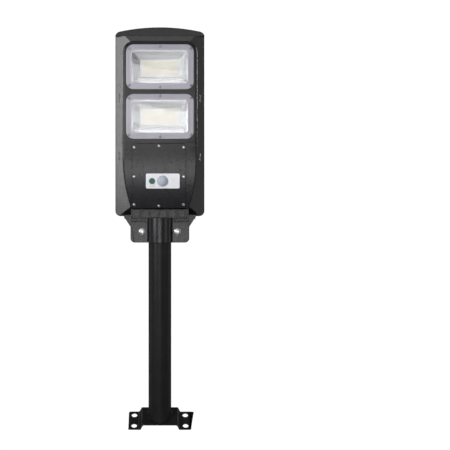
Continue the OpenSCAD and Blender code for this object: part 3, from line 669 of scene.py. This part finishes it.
def build_shells():
    build_housing()
    refined("battery_cover", 0.7 * MM, lambda edge: 1.0 if edge.calc_length() > 4 * MM else 0.3)
    refined("clamp_front", 0.8 * MM)
    refined("corner_retainers", 0.3 * MM)


def bracket_weight(edge):
    """Bends of the folded bar take a full radius, its sheared edges and holes a fine one."""
    along = (edge.verts[0].co - edge.verts[1].co).normalized()
    length = edge.calc_length()
    folded = abs(along.x) < 0.01 and length > 30 * MM
    middle = middle_of(edge)
    return 1.0 if folded and abs(middle.x) < HOUSING_HIGH.x / 2 else 0.14


def build_arm():
    refined("pole", 0.35 * MM)
    refined("wall_bracket", 2.6 * MM, bracket_weight, segments=4)
    build_weld()


def build_weld():
    """A rippled fillet weld that runs round the tube where it meets the bracket's face."""
    low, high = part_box("pole")
    radius = (high.x - low.x) / 2
    mount = next(m for m in RECORD["mounts"] if m["name"] == "wall_mount")
    out = -Vector(mount["axis"])
    up = Vector((1, 0, 0)).cross(-out).normalized()
    up = up if up.z > 0 else -up
    web = min(p.dot(out) for p in (v.co for v in frame["nodes"]["weld_bead"].data.vertices))
    top = max(p.dot(up) for p in (v.co for v in frame["nodes"]["weld_bead"].data.vertices)) - 1.5 * MM
    bm = bmesh.new()
    rings, sides, steps = [], 8, 220
    for k in range(steps + 1):
        angle = 2 * math.pi * k / steps + math.pi / 2
        side = Vector((math.cos(angle), math.sin(angle), 0))
        rim = side * (radius + 0.5 * MM)
        rim.z = (web - rim.dot(out)) / out.z
        if rim.dot(up) > top:
            if rings:
                rings.append(None)
            continue
        ripple = 1 + 0.13 * math.sin(k * 2 * math.pi / 3.6) * (1 if k % 2 else 0.8)
        size = 1.55 * MM * ripple
        centre = rim + out * 0.35 * MM
        ring = []
        for s in range(sides):
            swing = 2 * math.pi * s / sides
            ring.append(bm.verts.new(centre + size * (math.cos(swing) * side + math.sin(swing) * out)))
        rings.append(ring)
    for first, second in zip(rings, rings[1:]):
        if first and second:
            for s in range(sides):
                after = (s + 1) % sides
                bm.faces.new((first[s], first[after], second[after], second[s]))
    ends = [ring for before, ring, after in zip([None] + rings, rings, rings[1:] + [None])
            if ring and not (before and after)]
    for ring in ends:
        bm.faces.new(ring)
    piece = link("weld_looks", to_mesh("weld_looks", bm, crease=60), "black_steel")
    install(piece, "weld_bead")


# ---- Windows ----


def soft_ring(centre, width, height, radius, y, corner_steps=8):
    """Points round a rectangle with round corners, at one depth."""
    points = []
    for quarter in range(4):
        sign_x = 1 if quarter in (0, 3) else -1
        sign_z = 1 if quarter in (0, 1) else -1
        for k in range(corner_steps + 1):
            swing = math.pi / 2 * (quarter + k / corner_steps)
            x = sign_x * (width / 2 - radius) + radius * math.cos(swing)
            z = sign_z * (height / 2 - radius) + radius * math.sin(swing)
            points.append(Vector((centre.x + x, y, centre.z + z)))
    return points


def lofted(rings):
    """Joins rings of equal length, the first and last closed by a face each."""
    bm = bmesh.new()
    made = [[bm.verts.new(p) for p in ring] for ring in rings]
    for first, second in zip(made, made[1:]):
        for k in range(len(first)):
            after = (k + 1) % len(first)
            bm.faces.new((first[k], first[after], second[after], second[k]))
    bm.faces.new(made[0])
    bm.faces.new(made[-1])
    return bm


def build_lens(node):
    """The clear cover: a raised open pane in a frosted flange with a groove and rolled edges."""
    low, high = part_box(node)
    centre = (low + high) / 2
    width, height = high.x - low.x, high.z - low.z
    back, front = high.y, low.y
    flange = front + 1.2 * MM
    pane_w, pane_h = width - 22 * MM, height - 22.5 * MM
    outer_r, pane_r = 16 * MM, 8 * MM
    rings = [soft_ring(centre, pane_w - 3 * MM, pane_h - 3 * MM, pane_r - 1 * MM, flange + 0.8 * MM)]
    rings.append(soft_ring(centre, pane_w - 3 * MM, pane_h - 3 * MM, pane_r - 1 * MM, back))
    rings.append(soft_ring(centre, width, height, outer_r, back))
    roll = 0.7 * MM
    for k in range(5):
        swing = math.pi / 2 * k / 4
        shrink = 2 * roll * (1 - math.cos(swing))
        depth = flange + roll * (1 - math.sin(swing))
        rings.append(soft_ring(centre, width - shrink, height - shrink, outer_r, depth))
    for grow, sink in ((11, 0), (10.4, 0.35), (9.4, 0.35), (8.8, 0), (1.2, 0), (0.3, -0.35)):
        size = grow * MM
        corner = pane_r + size / 2
        rings.append(soft_ring(centre, pane_w + size, pane_h + size, corner, flange + sink * MM))
    for k in range(5):
        swing = math.pi / 2 * k / 4
        shrink = 1.2 * MM * (1 - math.cos(swing))
        depth = front + 0.6 * MM * (1 - math.sin(swing))
        rings.append(soft_ring(centre, pane_w - shrink, pane_h - shrink, pane_r, depth))
    mesh = to_mesh(node + "_looks", lofted(rings), crease=40)
    for face in mesh.polygons:
        in_pane = abs(face.center.x - centre.x) < pane_w / 2 and abs(face.center.z - centre.z) < pane_h / 2
        face.material_index = 0 if in_pane else 1
    piece = link(node + "_looks", mesh, "clear_cover", "clear_flange")
    install(piece, node)


def build_reflector(node):
    """A metallised tray with four curved walls that meet in mitred corners."""
    low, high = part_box(node)
    centre = (low + high) / 2
    mouth = Vector(((high.x - low.x) / 2 - 1.7 * MM, 0, (high.z - low.z) / 2 - 1.7 * MM))
    floor = Vector((41 * MM, 0, 18 * MM))
    steps, sheet, flutes = 6, 0.9 * MM, 10
    bm = bmesh.new()

    def ring(share, grow, y):
        """Points round the tray at a share of its depth, with shallow flutes along each wall."""
        bow = 1.6 * MM * math.sin(math.pi * share)
        half_x = mouth.x + (floor.x - mouth.x) * share + grow + bow
        half_z = mouth.z + (floor.z - mouth.z) * share + grow + bow
        corners = [(-half_x, -half_z), (half_x, -half_z), (half_x, half_z), (-half_x, half_z)]
        points = []
        for (x0, z0), (x1, z1) in zip(corners, corners[1:] + corners[:1]):
            for k in range(flutes):
                t = k / flutes
                dent = 0.35 * MM * math.sin(math.pi * ((t * flutes) % 2) / 1) if k else 0
                inward = Vector((-(z1 - z0), 0, x1 - x0)).normalized() * dent
                points.append(centre + Vector((x0 + (x1 - x0) * t, 0, z0 + (z1 - z0) * t)) + inward)
        for p in points:
            p.y = y
        return [bm.verts.new(p) for p in points]

    inner = [ring(k / steps, 0, low.y + (high.y - low.y) * k / steps) for k in range(steps + 1)]
    outer = [ring(k / steps, sheet, low.y + (high.y - low.y) * k / steps) for k in range(steps + 1)]
    loops = inner + outer[::-1]
    for first, second in zip(loops, loops[1:] + loops[:1]):
        for k in range(len(first)):
            after = (k + 1) % len(first)
            bm.faces.new((first[k], first[after], second[after], second[k]))
    piece = link(node + "_looks", to_mesh(node + "_looks", bm, crease=25), "mirror_tray")
    install(piece, node)


def build_chips(node):
    """Rows of light-emitting chips: a white frame round a sunk bed of phosphor."""
    bm = bmesh.new()
    for points in solids(node):
        low = Vector(min(p[i] for p in points) for i in range(3))
        high = Vector(max(p[i] for p in points) for i in range(3))
        made = bmesh.ops.create_cube(bm, size=1.0)
        for vert in made["verts"]:
            vert.co = Vector((low[i] + (vert.co[i] + 0.5) * (high[i] - low[i]) for i in range(3)))
        faces = {f for v in made["verts"] for f in v.link_faces}
        front = min(faces, key=lambda f: f.calc_center_median().y)
        bmesh.ops.inset_region(bm, faces=[front], thickness=0.3 * MM)
        bmesh.ops.inset_region(bm, faces=[front], thickness=0.12 * MM, depth=-0.18 * MM)
        front.material_index = 1
    mesh = to_mesh(node + "_looks", bm, smooth=False)
    piece = link(node + "_looks", mesh, "led_board_white", "led_phosphor")
    bevelled(piece, 0.05 * MM, 1, angle=50)
    install(piece, node)


def build_windows():
    for place in ("upper", "lower"):
        build_lens("lens_" + place)
        build_reflector("reflector_" + place)
        build_chips("leds_" + place)


# ---- Fasteners ----


def pan_head(radius, height, shank, length):
    """A pan-head screw with a cross recess, its seat at Z = 0."""
    profile = [
        (0, height), (0.45 * radius, 0.98 * height),
        (0.78 * radius, 0.82 * height), (0.95 * radius, 0.5 * height),
        (radius, 0.15 * height), (0.98 * radius, 0), (shank, 0), (shank, -length + shank), (0, -length)
    ]
    head = to_mesh("head", lathe(profile, 32), smooth=False)
    wing, slot = 0.52 * radius, 0.13 * radius
    for turn in (0, 1):
        outline = [(-wing, -slot), (wing, -slot), (wing, slot), (-wing, slot)]
        if turn:
            outline = [(-y, x) for x, y in outline]
        head = carved(head, to_mesh("slot", prism(outline, 0.38 * height, 2 * height), smooth=False))
    return head


def build_screws(node, toward, head_height, tilted=False, finish="zinc_steel"):
    """Replaces a group of CAD screws by pan heads with cross recesses."""
    groups = solids(node)
    axis = long_axis(groups[0], toward) if tilted else toward
    top, radius = tip(groups[0], axis)
    length = length_along(groups[0], axis) - head_height
    screw = pan_head(radius, head_height, 0.45 * radius, length)
    parts = []
    for points in groups:
        axis = long_axis(points, toward) if tilted else toward
        top, radius = tip(points, axis)
        parts.append((screw, facing(top - axis * head_height, axis, DICE.uniform(0, math.pi / 2))))
    piece = link(node + "_looks", gathered(node + "_looks", parts), finish)
    install(piece, node)


def hexagon(radius, low, high, chamfer_low, chamfer_high):
    """A hexagon whose corners are turned off at 30 degrees at one or both ends."""
    corners = [(radius * math.cos(math.pi * k / 3), radius * math.sin(math.pi * k / 3)) for k in range(6)]
    body = to_mesh("hexagon", prism(corners, low, high), smooth=False)
    across = radius * math.cos(math.pi / 6)
    reach = 1.1 * radius
    drop = (reach - 0.95 * across) * math.tan(math.radians(30))
    profile = [(0, high)]
    profile += [(0.95 * across, high), (reach, high - drop)] if chamfer_high else [(reach, high)]
    profile += [(reach, low + drop), (0.95 * across, low)] if chamfer_low else [(reach, low)]
    profile.append((0, low))
    return carved(body, to_mesh("cone", lathe(profile, 48), smooth=False), "INTERSECT")


def threaded(radius, length, pitch=1.25 * MM):
    """A rod from Z = 0 down to -length with thread ridges and a chamfered end."""
    depth = 0.5 * pitch
    profile = [(0, 0), (radius, 0)]
    height = -0.5 * pitch
    while height > -length + 1.5 * pitch:
        profile += [(radius, height), (radius - depth, height - pitch / 2)]
        height -= pitch
    profile += [(radius, height), (radius - depth, -length), (0, -length)]
    return to_mesh("thread", lathe(profile, 28))


def build_clamp_hardware():
    washers = solids("clamp_washers")
    bolts, nuts = solids("clamp_bolts"), solids("clamp_nuts")
    bolt_parts, nut_parts, washer_parts = [], [], []
    for bolt, nut, washer in zip(bolts, nuts, washers):
        top, corner = tip(bolt, FRONT)
        end, shank = tip(bolt, BACK)
        spin = DICE.uniform(0, math.pi / 3)
        seat = Vector((top.x, top.y + 5.3 * MM, top.z))
        head = hexagon(corner, 0, 5.3 * MM, False, True)
        rod = threaded(shank, (end - seat).length)
        bolt_parts += [(head, facing(seat, FRONT, spin)), (rod, facing(seat, FRONT))]
        nut_top, nut_corner = tip(nut, BACK)
        height = length_along(nut, BACK)
        bore_profile = [(0, height + MM), (shank, height + MM), (shank, -MM), (0, -MM)]
        bore = to_mesh("bore", lathe(bore_profile, 28), smooth=False)
        body = carved(hexagon(nut_corner, 0, height, True, True), bore)
        nut_parts.append((body, facing(nut_top - BACK * height, BACK, DICE.uniform(0, math.pi / 3))))
        face, rim = tip(washer, BACK)
        thick = length_along(washer, BACK)
        edge = 0.25 * MM
        ring = lathe([
            (shank + 0.3 * MM, edge), (shank + 0.5 * MM, 0), (rim - edge, 0),
            (rim, edge), (rim, thick - edge), (rim - edge, thick),
            (shank + 0.5 * MM, thick), (shank + 0.3 * MM, thick - edge), (shank + 0.3 * MM, edge)
        ], 48)
        bmesh.ops.remove_doubles(ring, verts=ring.verts, dist=0.001 * MM)
        centre = Vector((end.x, face.y - thick, end.z))
        washer_parts.append((to_mesh("washer", ring), facing(centre, BACK)))
    made = {"clamp_bolts": bolt_parts, "clamp_nuts": nut_parts, "clamp_washers": washer_parts}
    for node, parts in made.items():
        install(link(node + "_looks", gathered(node + "_looks", parts), "zinc_steel"), node)


def build_fasteners():
    build_screws("lens_screws", FRONT, 1.4 * MM, finish="dull_steel")
    build_screws("cover_screws", FRONT, 1.5 * MM, tilted=True)
    build_screws("retainer_screws", BACK, 1.1 * MM)
    build_screws("sleeve_screws", BACK, 2.0 * MM)
    build_clamp_hardware()


# ---- Sensor, button and label ----


def label_frame():
    """Where the label's outward normal points: the way the button presses, turned round."""
    press = next(j for j in RECORD["behaviour"]["joints"] if j["name"] == "button_press")
    return -Vector(press["axis"]).normalized()


def build_dome():
    """The motion sensor's dome, pressed with rows of shallow lens facets."""
    outward = label_frame()
    points = [v.co for v in frame["nodes"]["pir_lens"].data.vertices]
    low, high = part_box("pir_lens")
    reach = max(p.dot(outward) for p in points)
    back = min(p.dot(outward) for p in points)
    rim = max((p.x for p in points)) - (low.x + high.x) / 2
    radius = rim - 2.2 * MM
    middle_x = (low.x + high.x) / 2
    crown = [p for p in points if p.dot(outward) > reach - 0.3 * MM]
    centre = sum(crown, Vector()) / len(crown)
    centre.x = middle_x
    base = centre + outward * (back - centre.dot(outward))
    height = reach - back
    rise = 6.9 * MM
    collar = height - rise - 0.4 * MM
    ball = (radius * radius + rise * rise) / (2 * rise)
    half = math.asin(min(1, radius / ball))
    bm = bmesh.new()
    rows, columns = 5, 20
    wall = [(rim, 0), (rim, 1.2 * MM), (radius, 1.2 * MM), (radius, collar)]
    rings = [[(r, z, 2 * math.pi * k / columns) for k in range(columns)] for r, z in wall]
    for row in range(rows):
        angle = half * (1 - row / rows)
        r, z = ball * math.sin(angle), collar + 0.4 * MM + ball * (math.cos(angle) - math.cos(half))
        turn = math.pi / columns * (row % 2)
        rings.append([(r, z, 2 * math.pi * k / columns + turn) for k in range(columns)])
    made = [[bm.verts.new((r * math.cos(a), r * math.sin(a), z)) for r, z, a in ring] for ring in rings]
    facets = []
    for index, (first, second) in enumerate(zip(made, made[1:])):
        staggered = index >= len(wall)
        for k in range(columns):
            a, b = first[k], first[(k + 1) % columns]
            c, d = second[(k + 1) % columns], second[k]
            if not staggered:
                bm.faces.new((a, b, c, d))
                continue
            odd = (index - len(wall)) % 2
            near = second[(k + odd) % columns]
            facets.append(bm.faces.new((a, b, near)))
            further = second[(k + 1 + odd) % columns]
            facets.append(bm.faces.new((b, further, near)))
    facets.append(bm.faces.new(made[-1]))
    bm.faces.new(made[0])
    bmesh.ops.recalc_face_normals(bm, faces=bm.faces)
    bmesh.ops.inset_individual(bm, faces=facets, thickness=0.12 * MM, depth=0.08 * MM)
    mesh = to_mesh("dome_looks", bm, crease=50)
    mesh.transform(facing(base, outward))
    install(link("dome_looks", mesh, "dome_white"), "pir_lens")


def build_button():
    """A soft push cap with a rolled rim, a dished top and a retaining flange."""
    outward = label_frame()
    points = [v.co for v in frame["nodes"]["power_button"].data.vertices]
    reach = max(p.dot(outward) for p in points)
    back = min(p.dot(outward) for p in points)
    top = [p for p in points if p.dot(outward) > reach - 0.05 * MM]
    centre = sum(top, Vector()) / len(top)
    low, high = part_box("power_button")
    centre.x = (low.x + high.x) / 2
    radius = 6 * MM
    flange = (high.x - low.x) / 2
    height = reach - back
    skirt = height - 6.4 * MM
    roll = 1.0 * MM
    profile = [(0, height - 0.45 * MM), (0.35 * radius, height - 0.38 * MM)]
    profile += [(0.62 * radius, height - 0.15 * MM)]
    for k in range(6):
        swing = math.pi / 2 * k / 5
        profile.append((radius - roll + roll * math.sin(swing), height - roll + roll * math.cos(swing)))
    profile += [(radius, skirt + 1 * MM), (flange, skirt + 1 * MM), (flange, skirt)]
    profile += [(1.6 * MM, skirt), (1.6 * MM, 0.2 * MM)]
    profile += [(1.4 * MM, 0), (0, 0)]
    mesh = to_mesh("button_looks", lathe(profile, 48), crease=50)
    mesh.transform(facing(centre - outward * height, outward))
    install(link("button_looks", mesh, "button_green"), "power_button")


def build_label():
    """The label film, with plain printed bars."""
    refined("sensor_label", 0.12 * MM, lambda edge: 1.0 if edge.is_convex else 0.3)
    outward = label_frame()
    across = Vector((1, 0, 0))
    up = outward.cross(across) if outward.cross(across).z > 0 else across.cross(outward)
    _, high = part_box("sensor_label")
    button_low, button_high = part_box("power_button")
    button = Vector(((button_low.x + button_high.x) / 2, 0, 0))
    points = [v.co for v in frame["nodes"]["sensor_label"].data.vertices]
    middle_up = (min(p.dot(up) for p in points) + max(p.dot(up) for p in points)) / 2
    bm = bmesh.new()

    def lay(x, rise, width, height, index):
        """A printed bar that follows the film's slight curve."""
        count = 4
        rows = []
        for k in range(count + 1):
            z = middle_up + rise - height / 2 + height * k / count
            depth = curve_depth(points, outward, up, z)
            rise_out = up * z + outward * (depth + 0.02 * MM)
            row = [across * (x + side * width / 2) + rise_out for side in (LEFT, RIGHT)]
            rows.append([bm.verts.new(p) for p in row])
        for first, second in zip(rows, rows[1:]):
            bm.faces.new((first[0], first[1], second[1], second[0])).material_index = index

    start = button.x
    lay(start - 3.2 * MM, -10.6 * MM, 3.6 * MM, 0.7 * MM, 0)
    lay(start + 2.6 * MM, -10.6 * MM, 6.2 * MM, 0.7 * MM, 0)
    for k, width in enumerate((14, 11, 13)):
        lay(high.x - 11 * MM, (4.5 - 4 * k) * MM, width * MM, 0.45 * MM, 1)
    lay(start + 12 * MM, -12.8 * MM, 30 * MM, 0.35 * MM, 1)
    mesh = to_mesh("label_marks", bm, smooth=False)
    piece = link("label_marks", mesh, "print_green", "print_grey")
    thick = piece.modifiers.new("film", "SOLIDIFY")
    thick.thickness = 0.03 * MM
    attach(piece, "head")


def curve_depth(points, outward, up, height):
    """How far out the label's face lies at a height."""
    near = sorted(points, key=lambda p: abs(p.dot(up) - height))[:6]
    return max(p.dot(outward) for p in near)


# ---- Solar panel and the rest ----


def build_panel():
    refined("panel_backsheet", 0.3 * MM)
    refined("solar_cells", 0.08 * MM)
    refined("cell_ribbons", 0.04 * MM)
    refined("panel_glass", 0.35 * MM)
    refined("panel_seal", 0.1 * MM)


def build_hidden():
    """Pieces inside the head keep their CAD shape where it is right, with softened edges."""
    for node in ("battery_tray", "protection_board", "board_components", "button_switch", "lead_plugs",
                 "panel_terminals", "cell_strips", "control_board", "led_board_upper", "led_board_lower"):
        refined(node, 0.15 * MM if "strips" not in node else 0.05 * MM)
    refined("battery_cells", 0.9 * MM)
    refined("pir_sensor", 0.25 * MM)
    refined("lens_gasket_upper", 0.12 * MM)
    refined("lens_gasket_lower", 0.12 * MM)
    refined("cover_gasket", 0.12 * MM)
    build_screws("board_screws", BACK, 1.4 * MM, tilted=True)
    build_screws("led_board_screws", FRONT, 1.2 * MM)


def dress_the_rest():
    """Gives every CAD node that still shows its own slot's material."""
    for node, item in frame["nodes"].items():
        item.data.materials.clear()
        item.data.materials.append(MATERIALS[SLOT_OF[node]])
        item.data.polygons.foreach_set("material_index", [0] * len(item.data.polygons))


# ---- Studio ----

FLOOR_DROP = 0.6
FLOOR_RADIUS = 1.05
WORLD_LIGHT = 0.18
BACKDROP_LIGHT = 1.05


def area_light(name, place, target, width, height, radiance):
    """A soft lamp, its strength given as the light that each point of it sends each way."""
    lamp = bpy.data.objects.new(name, bpy.data.lights.new(name, "AREA"))
    lamp.data.shape = "RECTANGLE"
    lamp.data.size = width
    lamp.data.size_y = height
    lamp.data.energy = radiance * math.pi * width * height
    lamp.location = place
    lamp.rotation_euler = (Vector(target) - Vector(place)).to_track_quat("-Z", "Y").to_euler()
    bpy.context.scene.collection.objects.link(lamp)


def build_floor(z):
    turns = np.linspace(0, 2 * math.pi, 97)[:-1]
    outline = [FLOOR_RADIUS * Vector((math.cos(a), math.sin(a))) for a in turns]
    mesh = to_mesh("floor", prism(outline, z - 20 * MM, z), smooth=False)
    floor = bpy.data.objects.new("floor", mesh)
    material, tree, shader = blank_material("floor")
    tone = mixed(tree, noise(tree, 0.8, 2.0), (0.86, 0.86, 0.86), (0.9, 0.9, 0.9))
    tree.links.new(tone, shader.inputs["Base Color"])
    shader.inputs["Roughness"].default_value = 0.9
    mesh.materials.append(material)
    bpy.context.scene.collection.objects.link(floor)


def build_studio():
    low, high = cad_box
    world = bpy.data.worlds.new("studio")
    world.use_nodes = True
    background = world.node_tree.nodes["Background"]
    background.inputs["Color"].default_value = (1, 1, 1, 1)
    path = world.node_tree.nodes.new("ShaderNodeLightPath")
    strength = ranged(world.node_tree, path.outputs["Is Camera Ray"], WORLD_LIGHT, BACKDROP_LIGHT, 0, 1)
    world.node_tree.links.new(strength, background.inputs["Strength"])
    bpy.context.scene.world = world
    bpy.context.scene.view_settings.view_transform = "Standard"
    build_floor(low.z - FLOOR_DROP)
    head = Vector((0, 0, high.z - 0.2))
    area_light("left", (-1.36, -1.4, head.z + 0.42), head, 0.66, 1.15, 12)
    area_light("right", (1.5, -1.2, head.z + 0.1), head, 0.7, 1.5, 1.1)
    area_light("high_front", (-0.3, -2.4, head.z + 0.31), head, 1.3, 0.4, 3.6)
    area_light("low_front", (-0.1, -2.3, head.z - 0.34), head, 1.0, 0.2, 10)
    area_light("above", (0, -1.25, high.z + 1.5), head, 1.3, 0.5, 2.6)
    for side in (LEFT, RIGHT):
        area_light("side", (side * 2.2, 0.3, head.z), head, 0.9, 1.6, 0.9)
    area_light("back_left", (-1.1, 1.7, head.z + 0.6), head, 0.7, 0.8, 5)
    area_light("back_right", (1.1, 1.7, head.z + 0.6), head, 0.7, 0.8, 6.5)


# ---- Assembly ----

build_shells()
build_arm()
build_windows()
build_fasteners()
build_dome()
build_button()
build_label()
build_panel()
build_hidden()
dress_the_rest()
build_studio()
